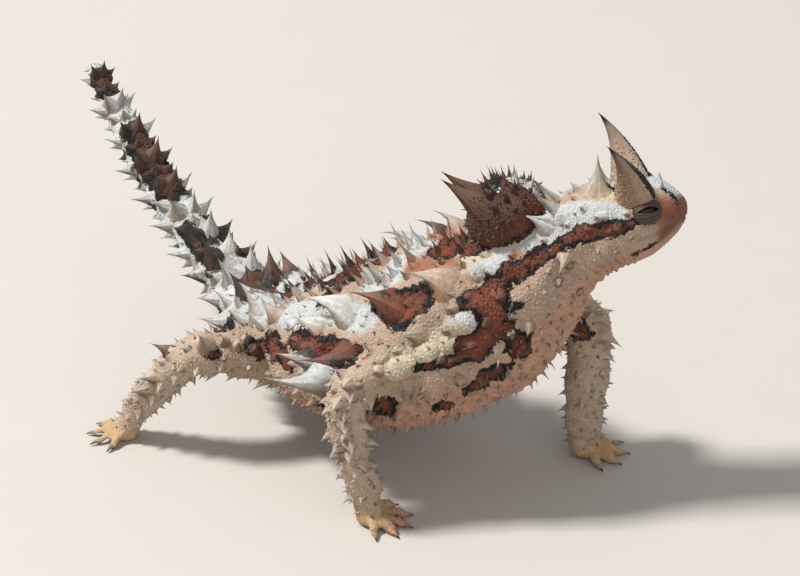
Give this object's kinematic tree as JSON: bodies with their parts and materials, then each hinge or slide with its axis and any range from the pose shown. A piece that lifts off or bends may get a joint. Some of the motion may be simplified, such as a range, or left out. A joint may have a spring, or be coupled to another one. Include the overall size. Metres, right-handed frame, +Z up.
{
  "type": "thorny devil",
  "caption": "Life-size still model of a thorny devil lizard, standing with its head up and its tail curved high, with conical thorns all over.",
  "frame": {"origin": "on the floor under the middle of the bounding box", "axes": "+X towards the head, +Y to the animal's left, +Z up"},
  "size_m": [0.145, 0.0732, 0.0782],
  "materials": {
    "skin": "dry granular scales, pale grey and cream with red-brown, black-edged blotches",
    "knob": "dry granular scales, grey-brown over red-brown",
    "head": "dry fine scales, pale and brown striped",
    "limbs": "dry granular scales, cream-grey",
    "feet": "dry tan scales",
    "eyes": "wet, glossy dark brown"
  },
  "bodies": {
    "root": {"tail_end": "skin", "tail_middle": "skin", "tail_root": "skin", "torso": "skin", "neck": "skin", "neck_knob": "knob", "head": "head", "eye_right": "eyes", "eye_left": "eyes", "upper_arm_right": "limbs", "forearm_right": "limbs", "hand_right": "feet", "upper_arm_left": "limbs", "forearm_left": "limbs", "hand_left": "feet", "thigh_right": "limbs", "shank_right": "limbs", "foot_right": "feet", "thigh_left": "limbs", "shank_left": "limbs", "foot_left": "feet"}
  },
  "joints": []
}
